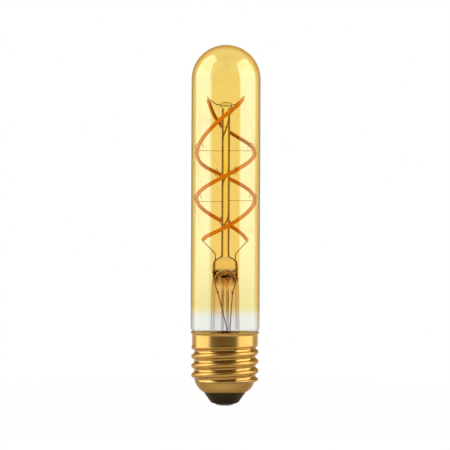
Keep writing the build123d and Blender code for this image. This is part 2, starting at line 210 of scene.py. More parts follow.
# %% Stem outline, outside
rod_low, rod_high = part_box("support_rod")
rod_top, press_top = rod_high.z / MM, rod_low.z / MM
bead_radius = rod_high.x / MM
rod_radius, bead_foot, bead_dome = 1.6, 115.3, 0.7
shaft_top, shaft_foot, shaft_steps = 115, 59.2, 20
stem_radius, stem_head, stem_spread, stem_steps = 5.4, 46, 0.4, 12
flare_bend, flare_middle, flare_head, flare_foot = 4.4, 10.2, 21.88, 17.48
lip_radius, lip_foot = 11.2, 16.6
bead_steps, press_steps, bend_steps = 8, 5, 10


def level(radius, height):
    """Round station of the stem: half its width, half its depth and its height."""
    return (radius, radius, height)


def quarter_turn(steps):
    """Angles of even steps through a quarter turn, without its start."""
    return [math.radians(90 * i / steps) for i in range(1, steps + 1)]


bead = []
for a in quarter_turn(bead_steps):
    bead.append(level(bead_radius * math.sin(a), rod_top - bead_dome * (1 - math.cos(a))))
bead += [level(2.35, 116.75), level(2.3, 116.35), level(1.95, 115.95), level(1.68, 115.62)]
bead += [level(rod_radius, bead_foot)]
rod = []
for i in range(shaft_steps + 1):
    rod.append(level(rod_radius, shaft_top - (shaft_top - shaft_foot) * i / shaft_steps))
press = curve_through([
    (1.6, 1.6, 59.2), (1.75, 1.62, 58.1), (2.9, 1.75, 57.3), (4.4, 1.92, 56.2), (4.85, 2.0, 54.8),
    (4.95, 2.1, 53.4), (4.9, 2.7, 52.0), (4.8, 3.8, 50.4), (4.95, 4.85, 48.9), (5.25, 5.25, 47.5),
    (5.38, 5.38, 46.3),
], press_steps)
flare = []
for i in range(1, stem_steps + 1):
    share = i / stem_steps
    flare.append(level(stem_radius + stem_spread * share, stem_head + (flare_head - stem_head) * share))
for a in quarter_turn(bend_steps):
    flare.append(level(flare_middle - flare_bend * math.cos(a), flare_head - flare_bend * math.sin(a)))
lip = [level(lip_radius, flare_foot), level(lip_radius, lip_foot)]
print("stations from the bead to the lip:", len(bead + rod + press + flare + lip))

# %% Stem outline, inside
inner_bend, inner_head, inner_top = 5.3, 21.9, 45.8
inner_radius = flare_middle - inner_bend
exhaust_radius, exhaust_top, exhaust_bend = 1.45, 48.0, 16.45
exhaust_tip = exhaust_bend - exhaust_radius
hollow_steps, exhaust_steps, tip_steps = 3, 14, 6
inside = []
for a in reversed([0.0] + quarter_turn(bend_steps)):
    inside.append(level(flare_middle - inner_bend * math.cos(a), inner_head - inner_bend * math.sin(a)))
for i in range(1, stem_steps + 1):
    share = i / stem_steps
    height = inner_head + (inner_top - inner_head) * share
    inside.append(level(inner_radius - stem_spread * share, height))
inside += curve_through([
    (4.48, 4.48, 46.3), (4.35, 4.25, 47.4), (4.0, 3.6, 48.8), (3.5, 2.6, 50.2), (3.0, 1.9, 51.2),
    (2.65, 1.65, 51.6), (2.3, 1.5, 51.3), (1.95, 1.45, 50.2), (1.6, 1.45, 49.2), (1.45, 1.45, 48.5),
], hollow_steps)
exhaust = []
for i in range(exhaust_steps + 1):
    exhaust.append(level(exhaust_radius, exhaust_top + (exhaust_bend - exhaust_top) * i / exhaust_steps))
for a in quarter_turn(tip_steps)[:-1]:
    exhaust.append(level(exhaust_radius * math.cos(a), exhaust_bend - exhaust_radius * math.sin(a)))
print("stations from the lip to the tip:", len(inside + exhaust))

# %% [markdown]
# ## Folds of the press
# The jaws that squeeze the soft glass leave small folds at the foot of the press, and they break up
# the light there. Folds sculpted by hand would be lost with every change of the outline, so the
# rings near that height are rippled by two waves that run round them.

# %% Rippled rings
stem_around = 96
fold_height, fold_reach, fold_depth = 50.2, 3.0, 0.04
wide_folds, wide_twist = 5, 1.3
narrow_folds, narrow_twist, narrow_share = 8, 2.4, 0.7


def pressed(half_wide, half_deep, height):
    """Ring of the stem, with the folds of the press near its foot."""
    ring = oval(half_wide, half_deep, height, count=stem_around)
    depth = fold_depth * max(1 - abs(height - fold_height) / fold_reach, 0)
    for i, point in enumerate(ring):
        turn = 2 * math.pi * i / stem_around
        wide = math.sin(wide_folds * turn + wide_twist * height)
        narrow = math.sin(narrow_folds * turn - narrow_twist * height)
        swell = 1 + depth * (wide + narrow_share * narrow)
        point.x *= swell
        point.y *= swell
    return ring


stations = bead + rod + press + flare + lip + inside + exhaust
stem = bmesh.new()
skin(stem, [pole(rod_top)] + [pressed(*station) for station in stations] + [pole(exhaust_tip)])
print("faces of the stem's skin:", len(stem.faces))

# %% Stem zones
flare_zone, press_zone, rod_zone, exhaust_zone, bead_zone, slot_zone = range(6)
press_foot, exhaust_limit = 46.5, 1.5
for face in stem.faces:
    middle = face.calc_center_median()
    height, reach = middle.z / MM, middle.xy.length / MM
    if height > bead_foot:
        face.material_index = bead_zone
    elif height > press_foot:
        face.material_index = rod_zone if height > press_top else press_zone
    else:
        face.material_index = exhaust_zone if reach < exhaust_limit else flare_zone
print("faces of the rod:", sum(face.material_index == rod_zone for face in stem.faces))

# %% [markdown]
# ## The bore of the exhaust tube
# The exhaust tube is hollow, and its bore ends in a flat slot where the press has squeezed it shut;
# the slot is painted dark. A boolean cut could leave slivers where its faces nearly touch those of
# the stem. A second skin that is turned inside out, so that its faces look into the bore, gives the
# same hollow without any cutting.

# %% Exhaust bore
bore_radius, bore_top, slot_foot, slot_top = 0.75, 48.8, 49.2, 50.7
bore_steps, bore_around = 5, 48
bore = []
for a in quarter_turn(bore_steps):
    bore.append(level(bore_radius * math.sin(a), exhaust_bend - bore_radius * math.cos(a)))
for i in range(1, exhaust_steps + 1):
    bore.append(level(bore_radius, exhaust_bend + (bore_top - exhaust_bend) * i / exhaust_steps))
bore += [(0.85, 0.7, slot_foot), (1.25, 0.65, 49.7), (1.6, 0.6, 50.1)]
bore += [(1.3, 0.45, 50.45), (0.6, 0.2, 50.65)]
bore_rings = [oval(*station, count=bore_around) for station in bore]
hollow = bmesh.new()
skin(hollow, [pole(exhaust_bend - bore_radius)] + bore_rings + [pole(slot_top)])
for face in hollow.faces:
    face.material_index = slot_zone if face.calc_center_median().z > slot_foot * MM else exhaust_zone
bmesh.ops.reverse_faces(hollow, faces=hollow.faces)
print("faces of the bore:", len(hollow.faces))

# %% Stem and bore in one piece
bore_mesh = bpy.data.meshes.new("exhaust_bore")
hollow.to_mesh(bore_mesh)
hollow.free()
stem.from_mesh(bore_mesh)
bpy.data.meshes.remove(bore_mesh)
stem_glass = finish_piece("stem_glass", stem, sharp_above=60)
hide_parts("stem_flare", "support_rod", "exhaust_tube")

# %% [markdown]
# ## The screw shell
# The shell is thin brass sheet with the thread rolled into it, so the inside follows the outside. A
# thread made by a screw modifier would not run out into the plain collar. Here each ring asks one
# formula for its radius at every angle: round crests and roots on a right-hand helix that fade in
# above the bowl and fade out below the collar.

# %% Shell formula
low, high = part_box("cap_shell")
shell_foot, rim_top = low.z / MM, high.z / MM
rim_radius = high.x / MM
crest_radius, thread_depth, pitch = 13.05, 1.15, 25.4 / 7
root_radius, collar_radius, sheet = crest_radius - thread_depth, 12.79, 0.4
thread_foot, thread_top = 8.9, 23.6
thread_phase, run_in, run_out = 4.7, 1.1, 1.5
opening_radius, bowl_edge = 8.35, math.radians(60)
bowl_radius = (root_radius - opening_radius) / (1 - math.cos(bowl_edge))
bowl_centre = shell_foot + bowl_radius * math.sin(bowl_edge)


def ease(value, start, end):
    """Soft rise from 0 at the start to 1 at the end."""
    share = min(max((value - start) / (end - start), 0), 1)
    return share * share * (3 - 2 * share)


def shell_reach(turn, height):
    """Outer radius of the shell, bowl to collar, at a turn (0 to 1 from +X) and a height."""
    drop = max(bowl_centre - height, 0)
    base = root_radius - bowl_radius + math.sqrt(bowl_radius ** 2 - drop ** 2)
    quarter = pitch / 4
    arc = (quarter ** 2 + (thread_depth / 2) ** 2) / thread_depth
    away = abs((height - thread_foot - thread_phase - pitch * turn + pitch / 2) % pitch - pitch / 2)
    if away < quarter:
        ridge = thread_depth - arc + math.sqrt(arc ** 2 - away ** 2)
    else:
        ridge = arc - math.sqrt(arc ** 2 - (pitch / 2 - away) ** 2)
    threaded = base + ridge * ease(height, thread_foot, thread_foot + run_in)
    plain = ease(height, thread_top - run_out, thread_top)
    return threaded * (1 - plain) + collar_radius * plain


print("turns of the thread:", round((thread_top - thread_foot) / pitch, 2))

# %% Shell mesh
bowl_rows, thread_rows, collar_steps = 12, 92, 4


def shell_ring(inset, height):
    """Ring of the shell at a height, moved in from its outer face by an inset."""
    ring = []
    for i in range(AROUND):
        turn = i / AROUND
        reach = shell_reach(turn, height) - inset
        angle = 2 * math.pi * turn
        ring.append(Vector((reach * math.cos(angle), reach * math.sin(angle), height)))
    return ring


levels = [shell_foot + (thread_foot - shell_foot) * i / bowl_rows for i in range(bowl_rows)]
levels += [thread_foot + (thread_top - thread_foot) * i / thread_rows for i in range(thread_rows + 1)]
collar = curve_through([
    (collar_radius, thread_top + 0.4), (collar_radius, 27.3), (12.92, 27.85), (rim_radius - 0.08, 28.38),
], collar_steps)
rim_lip = [(rim_radius, 28.42), (rim_radius, 28.52), (rim_radius - 0.1, rim_top)]
rim_lip += [(rim_radius - 0.28, rim_top), (rim_radius - sheet, 28.5)]
collar_inside = [(r - sheet, z) for r, z in reversed(collar)]
rings = [shell_ring(0, z) for z in levels]
rings += [oval(r, r, z) for r, z in collar + rim_lip + collar_inside]
rings += [shell_ring(sheet, z) for z in reversed(levels)]
bm = bmesh.new()
skin(bm, rings, closed=True)
screw_shell = finish_piece("screw_shell", bm, sharp_above=50)
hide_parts("cap_shell")

# %% [markdown]
# ## The insulator
# The black glass button is moulded into the shell and keeps the contact clear of it. It is a turned
# shape: a plug inside the shell, a cone that shows, and a soft foot. A cone with a bevel would come
# close, but its foot has several bends, so its outline is written down and turned.

# %% Insulator mesh
bore_reach, plug_reach, plug_foot, plug_top, foot_height = 0.7, 7.9, 5.32, 7.6, 0.62
foot_and_cone = [(3.45, 0.63), (4.55, 0.95), (5.35, 1.32), (5.62, 1.66), (8.1, 5.12), (8.2, 5.3)]
cone_steps = 4
outline = [(bore_reach, foot_height), (3.3, foot_height)]
outline += curve_through(foot_and_cone, cone_steps)
outline += [(plug_reach, plug_foot), (plug_reach, plug_top), (bore_reach, plug_top)]
bm = bmesh.new()
skin(bm, [oval(r, r, z) for r, z in outline], closed=True)
insulator = finish_piece("insulator", bm, sharp_above=35)
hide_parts("cap_insulator")

# %% [markdown]
# ## The solder contact
# The contact is a drop of solder that has run out round the wire. A perfect dome would look like a
# bearing ball, and a noise texture would only change its shading, so its points are moved a little
# along a slow wave.

# %% Contact mesh
drop_radius, drop_start, drop_rise, drop_bend, drop_top = 3.38, 0.02, 0.57, 1.3, 0.6
drop_rings, drop_around = 12, 64
wave_height, wave_count, wave_twist = 0.035, 3, 4
rings = []
for share in [i / drop_rings for i in range(1, drop_rings + 1)]:
    bend = share * math.pi / 2
    radius = drop_radius * math.sin(bend)
    height = drop_start + drop_rise * (1 - math.cos(bend)) ** drop_bend
    ring = oval(radius, radius, height, count=drop_around)
    for point in ring:
        turn = math.atan2(point.y, point.x)
        wave = math.sin(wave_count * turn + wave_twist * share) + 1
        point.z += wave_height * share * (1 - share) * wave
    rings.append(ring)
bm = bmesh.new()
skin(bm, [pole(0)] + rings + [pole(drop_top)])
contact = finish_piece("solder_contact", bm)
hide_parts("centre_contact")

# %% [markdown]
# ## Finishes
# Each finish is a Principled shader. A number that is the same all over goes straight into the
# shader's own socket, and only what changes over the surface gets nodes. Painted images would do
# too, but every piece would need a flat layout for them, and a formula needs none.

# %% Material and node helpers


def finish(name, roughness, metallic=0.0, **sockets):
    """New material with its Principled shader's plain values set."""
    material = bpy.data.materials.new(name)
    material.use_nodes = True
    shader = material.node_tree.nodes["Principled BSDF"]
    shader.inputs["Roughness"].default_value = roughness
    shader.inputs["Metallic"].default_value = metallic
    for socket, value in sockets.items():
        shader.inputs[socket.replace("_", " ")].default_value = value
    return material, material.node_tree, shader


def add_node(tree, kind, **values):
    """New node with sockets or settings given. An underscore in a socket's name is a space."""
    node = tree.nodes.new(kind)
    for name, value in values.items():
        socket = name.replace("_", " ")
        if socket in node.inputs:
            node.inputs[socket].default_value = value
        else:
            setattr(node, name, value)
    return node


print("materials before dressing:", len(bpy.data.materials))

# %% Ramp and mix helpers
BLACK, WHITE = (0, 0, 0), (1, 1, 1)


def grey(value):
    """Colour with the same red, green and blue."""
    return (value,) * 3


def colour_ramp(tree, source, stops):
    """Colour ramp fed by a socket. Each stop is a place and a linear colour."""
    ramp = tree.nodes.new("ShaderNodeValToRGB")
    while len(ramp.color_ramp.elements) < len(stops):
        ramp.color_ramp.elements.new(1.0)
    for element, (place, colour) in zip(ramp.color_ramp.elements, stops):
        element.position = place
        element.color = (*colour, 1.0)
    tree.links.new(source, ramp.inputs["Fac"])
    return ramp.outputs["Color"]


def mixed(tree, share, first, second, kind="MIX"):
    """Mix of two colour sockets. The share is a number or a socket."""
    node = add_node(tree, "ShaderNodeMix", data_type="RGBA", blend_type=kind)
    if isinstance(share, float):
        node.inputs["Factor"].default_value = share
    else:
        tree.links.new(share, node.inputs["Factor"])
    tree.links.new(first, node.inputs[6])
    tree.links.new(second, node.inputs[7])
    return node.outputs[2]


print("half grey:", grey(0.5))

# %% [markdown]
# ## Tones that follow the lamp
# Many tones on the lamp change along its height or with the distance from its axis. The pieces all
# sit at the origin, so object coordinates are places on the lamp in metres. Vertex colours could
# hold the tones as well, but only as finely as the mesh. Here one coordinate, or the length of two,
# goes through a ramp whose stops are given in millimetres.

# %% Tones by height
stem_low, stem_high = 15, 118


def object_place(tree):
    """Position on the lamp, in metres."""
    return tree.nodes.new("ShaderNodeTexCoord").outputs["Object"]


def length_tone(tree, length, stops):
    """Colour that follows a length. Each stop is a length in millimetres and a colour."""
    low, high = stops[0][0], stops[-1][0]
    share = add_node(tree, "ShaderNodeMapRange", From_Min=low * MM, From_Max=high * MM)
    tree.links.new(length, share.inputs["Value"])
    places = [((at - low) / (high - low), tone) for at, tone in stops]
    return colour_ramp(tree, share.outputs["Result"], places)


def height_tone(tree, stops):
    """Colour that follows the height on the lamp."""
    axes = tree.nodes.new("ShaderNodeSeparateXYZ")
    tree.links.new(object_place(tree), axes.inputs["Vector"])
    return length_tone(tree, axes.outputs["Z"], stops)


def all_along(colour):
    """Stops of a tone that is the same at every height of the stem."""
    return [(stem_low, colour), (stem_high, colour)]


print("heights on the stem:", stem_low, "to", stem_high, "mm")

# %% Tones by distance from the axis


def off_axis(tree):
    """Level vector from the lamp's axis to the surface."""
    flat = add_node(tree, "ShaderNodeVectorMath", operation="MULTIPLY")
    flat.inputs[1].default_value = (1, 1, 0)
    tree.links.new(object_place(tree), flat.inputs[0])
    return flat.outputs["Vector"]


def reach_tone(tree, stops):
    """Colour that follows the distance from the lamp's axis."""
    reach = add_node(tree, "ShaderNodeVectorMath", operation="LENGTH")
    tree.links.new(off_axis(tree), reach.inputs[0])
    return length_tone(tree, reach.outputs["Value"], stops)


# %% [markdown]
# ## Amber glass
# The tube is tinted by a thin lustre on the glass, which stops short of the foot, so the foot is
# clear. Light that crosses the lamp meets four faces, so each carries only a part of the tint. One
# colour for the whole tube would look like syrup. So a ramp along the height fades amber to clear, a
# paler tone where the glass is seen at a slant paints in the pale bands of the mirrored softboxes,
# and a darker tone at the very edge paints in shade. The facing value of a Layer Weight node chooses
# between the straight tone, the painted band and the painted edge shade.

# %% Amber tones
clear_tone, pale_tone, amber_tone = (0.9, 0.905, 0.885), (0.98, 0.82, 0.415), (0.98, 0.82, 0.39)
# The paler tones seen at a slant are painted reflection: the pale bands of the mirrored softboxes.
painted_band_foot, painted_band_tone, dome_tone = (0.915, 0.865, 0.58), (1.0, 0.945, 0.65), (1.0, 0.86, 0.43)
straight_tones = [(34.3, clear_tone), (38.2, pale_tone), (100, amber_tone), (126, amber_tone)]
straight_tones += [(131.5, dome_tone)]
painted_band_tones = [(34.3, clear_tone), (38.2, painted_band_foot), (41, painted_band_foot), (60, painted_band_tone)]
painted_band_tones += [(127, painted_band_tone), (131.5, dome_tone)]
painted_band_shares = [(0.4, 0.0), (0.44, 1.0), (0.7, 1.0), (0.76, 0.85), (0.85, 0.8), (0.872, 0.0)]
# The edge tones paint shade at the very edge of the tube, on its sides and on its dome.
side_edge_shade = [(0.52, WHITE), (0.56, (1.0, 0.86, 0.42)), (0.63, (0.64, 0.56, 0.58))]
side_edge_shade += [(0.71, (0.26, 0.24, 0.22))]
dome_edge_shade = [(0.5, WHITE), (0.6, (0.8, 0.5, 0.16)), (0.7, (0.7, 0.27, 0.01))]
dome_share = [(125, BLACK), (131, WHITE)]
coat_shares = [(35, BLACK), (55, grey(0.15)), (123, grey(0.15)), (129, grey(0.6))]


def facing_at(offset):
    """Facing value of a round surface seen at an offset from its axis, as a share of its radius."""
    return 1 - math.sqrt(1 - min(offset, 1) ** 2)


print("facing value where the slant begins:", round(facing_at(painted_band_shares[0][0]), 3))

# %% [markdown]
# ## The painted band, from air and from glass
# Inside the glass the light runs steeper than in air, so a face that is met from within reads the
# slant at a smaller angle. A single ramp would put the painted pale band of the rear wall in the
# wrong place. So each face has two ramps, and the Backfacing value picks one of them. Only the
# outside has the painted dark edge and a thin coat, stronger on the dome, which mirrors the
# softboxes.

# %% Amber glass material
glass_bend, lustre_bend = 1.5, 2.2
lustre_mirror, no_mirror = (1, 1, 0.35, 1), (0, 0, 0, 1)


def painted_band_ramp(tree, facing, stretch):
    """Share of the painted pale band, with the offsets from the axis stretched by a factor."""
    stops = [(facing_at(offset * stretch), grey(share)) for offset, share in painted_band_shares]
    return colour_ramp(tree, facing, stops)


def amber_glass(name, lustre):
    """Glass that is amber up the tube and clear at its foot, with painted pale bands where it is seen at
    a slant. The outside has the lustre coat and a painted dark edge.
    """
    values = {"Transmission_Weight": 1.0, "IOR": glass_bend, "Coat_IOR": lustre_bend}
    material, tree, shader = finish(name, 0.0, Coat_Roughness=0.0, **values)
    facing = add_node(tree, "ShaderNodeLayerWeight", Blend=0.5).outputs["Facing"]
    within = tree.nodes.new("ShaderNodeNewGeometry").outputs["Backfacing"]
    stretch = 1.0 if lustre else tube_radius / (tube_radius - wall)
    from_air = painted_band_ramp(tree, facing, stretch)
    from_glass = painted_band_ramp(tree, facing, stretch / glass_bend)
    painted_band = mixed(tree, within, from_air, from_glass)
    tone = mixed(tree, painted_band, height_tone(tree, straight_tones), height_tone(tree, painted_band_tones))
    if lustre:
        side, dome = colour_ramp(tree, facing, side_edge_shade), colour_ramp(tree, facing, dome_edge_shade)
        edge_shade = mixed(tree, height_tone(tree, dome_share), side, dome)
        tone = mixed(tree, 1.0, tone, edge_shade, "MULTIPLY")
        tree.links.new(height_tone(tree, coat_shares), shader.inputs["Coat Weight"])
    tree.links.new(tone, shader.inputs["Base Color"])
    shader.inputs["Specular Tint"].default_value = lustre_mirror if lustre else no_mirror
    return material


glass_tube.data.materials.append(amber_glass("amber_glass", lustre=True))
glass_tube.data.materials.append(amber_glass("amber_glass_inside", lustre=False))
print("finishes on", glass_tube.name, [slot.name for slot in glass_tube.material_slots])

# %% [markdown]
# ## Stem glass
# Clear glass rods look dark at their edges, because there the light comes from far to the side. Dark
# panels beside the lamp would give such edges, but only from some sides. Here that shade is painted
# into the tint: the facing value darkens it towards the edge from whatever side the rod is seen, and
# a ramp along the height gives each stretch its own middle tone. The rod is solid and its painted dark
# edge narrow. The press is thick and folded, and its darker tones low down are painted shade. The
# slot in it is painted nearly black, and the flare is a thin tube with a faint painted edge.

# %% Stem tones
flare_tones = [(33, (0.985, 0.985, 0.99)), (39, (0.92, 0.89, 0.93)), (46.5, (0.92, 0.87, 0.85))]
# Low on the press the tones are darker: painted shade.
press_tint_and_shade = [(46, (0.92, 0.87, 0.85)), (48.5, (0.84, 0.69, 0.55)), (52, (0.74, 0.58, 0.43))]
press_tint_and_shade += [(53.2, (0.95, 0.8, 0.56)), (55.5, (1.0, 0.86, 0.66)), (58.5, (0.8, 0.66, 0.52))]
# Edge tones, here and below, are painted shade at the edges of the stem.
press_edge_shade = [(46.3, (0.82, 0.74, 0.68)), (48.8, (0.17, 0.055, 0.02)), (59, (0.17, 0.055, 0.02))]
rod_tones = [(59, (1.0, 0.88, 0.66)), (80, (1.0, 0.91, 0.54)), (88, (1.0, 0.91, 0.45))]
rod_tones += [(92, (1.0, 0.9, 0.2)), (97, (1.0, 0.94, 0.5)), (115, (1.0, 0.98, 0.7))]
exhaust_tones = [(33, (1.0, 0.99, 0.97)), (46, (1.0, 0.96, 0.9))]
exhaust_edge_shade = [(33, (0.4, 0.32, 0.25)), (40, (0.13, 0.06, 0.02)), (43, (0.16, 0.08, 0.03))]
exhaust_edge_shade += [(46.5, (0.6, 0.5, 0.38))]
# The slot's nearly black tones are painted shade.
slot_shade_tones = [(49, (0.1, 0.05, 0.02)), (51, (0.04, 0.02, 0.008))]
flare_edge_shade, rod_edge_shade = all_along((0.3, 0.2, 0.12)), all_along((0.17, 0.065, 0.01))
bead_edge_shade, slot_edge_shade = all_along((0.08, 0.03, 0.004)), all_along((0.02, 0.01, 0.003))
print("heights with a tone of their own on the press:", [height for height, tone in press_tint_and_shade])

# %% Stem glass materials


def edge_glass(name, middle, edge_shade, begin, end):
    """Clear glass whose tint goes from middle tones to painted edge shade between two facing values."""
    values = {"Transmission_Weight": 1.0, "IOR": glass_bend, "Specular_Tint": no_mirror}
    material, tree, shader = finish(name, 0.0, **values)
    facing = add_node(tree, "ShaderNodeLayerWeight", Blend=0.5).outputs["Facing"]
    turned = colour_ramp(tree, facing, [(begin, BLACK), (end, WHITE)])
    tint = mixed(tree, turned, height_tone(tree, middle), height_tone(tree, edge_shade))
    tree.links.new(tint, shader.inputs["Base Color"])
    return material


for zone_glass in (
    edge_glass("flare_glass", flare_tones, flare_edge_shade, 0.3, 0.75),
    edge_glass("press_glass", press_tint_and_shade, press_edge_shade, 0.1, 0.36),
    edge_glass("rod_glass", rod_tones, rod_edge_shade, 0.09, 0.18),
    edge_glass("exhaust_glass", exhaust_tones, exhaust_edge_shade, 0.12, 0.25),
    edge_glass("bead_glass", rod_tones, bead_edge_shade, 0.35, 0.6),
    edge_glass("slot_glass", slot_shade_tones, slot_edge_shade, 0.05, 0.3),
):
    stem_glass.data.materials.append(zone_glass)
print("finishes on", stem_glass.name, [slot.name for slot in stem_glass.material_slots])

# %% [markdown]
# ## Brass
# Rolled brass keeps its shine in the roots of the thread and gets dull on the crests, where holders
# rub it. The distance from the axis tells crest from root, so colour and roughness follow the thread
# by themselves: the roots a little darker than the crests, and the bowl lighter, as painted light in
# place of fill from below. A painted mask would do the same, but would have to be made again for
# every change of the thread. A soft noise keeps the gloss from being perfect.

# %% Brass material
# The bowl's lighter tone is painted light.
bowl_painted_light, root_tone, crest_tone = (0.7, 0.44, 0.135), (0.62, 0.395, 0.135), (0.7, 0.45, 0.14)
brass_tones_by_reach = [(root_radius - 1, bowl_painted_light), (root_radius, root_tone), (crest_radius - 0.4, crest_tone)]
flank_radius = 12.3
rub = [(root_radius - 1, 0.3), (root_radius, 0.15), (flank_radius, 0.18), (collar_radius, 0.25)]
rub += [(crest_radius, 0.42)]
noise_share, noise_scale = 0.06, 260


def noise(tree, scale, detail=3.0):
    """Soft cloud of grey values at a scale given per metre."""
    node = add_node(tree, "ShaderNodeTexNoise", Scale=scale, Detail=detail)
    tree.links.new(object_place(tree), node.inputs["Vector"])
    return node.outputs["Fac"]


brass, tree, shader = finish("brass", 0.2, metallic=1.0)
tree.links.new(reach_tone(tree, brass_tones_by_reach), shader.inputs["Base Color"])
rubbed = reach_tone(tree, [(reach, grey(roughness)) for reach, roughness in rub])
clouded = mixed(tree, noise_share, rubbed, noise(tree, noise_scale))
tree.links.new(clouded, shader.inputs["Roughness"])
screw_shell.data.materials.append(brass)
print("finish on", screw_shell.name, [slot.name for slot in screw_shell.material_slots])

# %% [markdown]
# ## The light strands
# A strand is a row of tiny lamps on a thin carrier, coated with silicone that holds phosphor. A faint
# glow is painted light that brightens the strands. On the side that looks to the rod the strand is
# darker, most of all near the top: painted shade. Two materials would need the faces sorted by
# hand. Here the surface's normal is compared with the direction away from the axis, which tells one
# side from the other.

# %% Strand coat
outer_tone = (0.96, 0.3, 0.0015)
# The inner side's darker tones by height are painted shade.
inner_shade_tones = [(66, (0.82, 0.2, 0.025)), (86, (0.76, 0.175, 0.01)), (96, (0.42, 0.085, 0.002))]
inner_shade_tones += [(104, (0.3, 0.06, 0.001)), (118, (0.26, 0.05, 0.001))]
shade_until, lit_from = 0.06, 0.19


def strand_coat(name):
    """Coat of a strand: one tone on its outer side, painted shade by height on its inner side, and a
    faint painted glow.
    """
    # The faint glow is painted light.
    painted_glow = {"Emission_Color": (1.0, 0.42, 0.02, 1), "Emission_Strength": 0.11}
    material, tree, shader = finish(name, 0.5, Specular_IOR_Level=0.05, **painted_glow)
    outward = add_node(tree, "ShaderNodeVectorMath", operation="NORMALIZE")
    looks_out = add_node(tree, "ShaderNodeVectorMath", operation="DOT_PRODUCT")
    normal = tree.nodes.new("ShaderNodeTexCoord").outputs["Normal"]
    tree.links.new(off_axis(tree), outward.inputs[0])
    tree.links.new(outward.outputs["Vector"], looks_out.inputs[0])
    tree.links.new(normal, looks_out.inputs[1])
    share = add_node(tree, "ShaderNodeMapRange", From_Min=-1.0)
    tree.links.new(looks_out.outputs["Value"], share.inputs["Value"])
    side = colour_ramp(tree, share.outputs["Result"], [(shade_until, BLACK), (lit_from, WHITE)])
    tone = mixed(tree, side, height_tone(tree, inner_shade_tones), height_tone(tree, all_along(outer_tone)))
    tree.links.new(tone, shader.inputs["Base Color"])
    return material


def dress(material, *names):
    """Gives a finish to nodes of the frame by name."""
    for name in names:
        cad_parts[name].material_slots[0].material = material
    print(material.name, "on", len(names), "nodes")


dress(strand_coat("phosphor"), "filament_a", "filament_b")

# %% [markdown]
# ## Tabs, leads and sealing wires
# Flat nickel tabs end the strands, and thin wires carry the current to them. Drawn metal is never
# quite even. One plain colour would look like plastic, so a noise lets each metal drift between two
# close tones. The same helper can swing the roughness and add a fine relief, for finishes that need
# it later.

# %% Uneven finish
finer, finest, relief_depth = 2.7, 4, 0.1


def uneven(name, roughness, colours, scale, metallic=0.0, rough_swing=0.0, bump=0.0, **sockets):
    """Finish that drifts between two tones, and on request in its roughness and relief as well."""
    material, tree, shader = finish(name, roughness, metallic, **sockets)
    drift = colour_ramp(tree, noise(tree, scale), [(0.3, colours[0]), (0.7, colours[1])])
    tree.links.new(drift, shader.inputs["Base Color"])
    if rough_swing:
        limits = {"To_Min": roughness - rough_swing, "To_Max": roughness + rough_swing}
        spread = add_node(tree, "ShaderNodeMapRange", **limits)
        tree.links.new(noise(tree, scale * finer), spread.inputs["Value"])
        tree.links.new(spread.outputs["Result"], shader.inputs["Roughness"])
    if bump:
        relief = add_node(tree, "ShaderNodeBump", Strength=bump, Distance=relief_depth * MM)
        tree.links.new(noise(tree, scale * finest), relief.inputs["Height"])
        tree.links.new(relief.outputs["Normal"], shader.inputs["Normal"])
    return material


print("relief is", finest, "times as fine as the drift of the colour")

# %% Tab and wire finishes
tabs = [f"filament_tab_{strand}_{end}" for strand in "ab" for end in ("bottom", "top")]
dress(uneven("nickel_tab", 0.35, ((0.7, 0.5, 0.5), (0.8, 0.6, 0.6)), 600, metallic=1.0), *tabs)
leads = [f"{place}_lead_{side}" for place in ("inner", "outer") for side in ("left", "right")]
lead_tones = ((0.62, 0.2, 0.13), (0.74, 0.27, 0.18))
dress(uneven("lead_wire", 0.45, lead_tones, 400, Specular_IOR_Level=0.1), "shell_lead", *leads)
clad_tones = ((0.35, 0.11, 0.05), (0.5, 0.19, 0.09))
copper_clad = uneven("copper_clad", 0.35, clad_tones, 400, metallic=1.0)
dress(copper_clad, "seal_wire_left", "seal_wire_right")

# %% [markdown]
# ## Hooks and link wire
# Ten hooks hold the strands, and a link wire joins their top ends through the bead. The link wire is
# pale inside the bead and browned by the flame next to it, and the rings of the hooks take on the
# orange of the strands. Separate materials would need each wire cut in pieces, so a ramp over the
# distance from the axis colours them.

# %% Hook and link finishes
hook_tones = [(8, (0.85, 0.5, 0.22)), (9, (0.65, 0.14, 0.01))]
browned = (0.28, 0.12, 0.03)
link_tones = [(2.0, (0.97, 0.94, 0.8)), (2.6, browned), (5.4, browned), (6.2, (0.8, 0.58, 0.5))]


def reach_finish(name, roughness, stops, **values):
    """Finish whose colour follows the distance from the axis."""
    material, tree, shader = finish(name, roughness, **values)
    tree.links.new(reach_tone(tree, stops), shader.inputs["Base Color"])
    return material


hooks = [f"support_hook_{strand}_{place}" for strand in "ab" for place in range(1, 6)]
dress(reach_finish("hook_wire", 0.45, hook_tones, Specular_IOR_Level=0.1), *hooks)
dress(reach_finish("link_wire", 0.38, link_tones, metallic=1.0), "top_link_wire")

# %% [markdown]
# ## Cap and driver
# Black insulating glass has a soft sheen, solder is satin and a little rough, and the cement is matt
# and grainy. The parts of the driver sit inside the cap. Each could have nodes of its own, but they
# differ only in two close tones, a gloss and a grain, so the helper of the wires makes all of them.

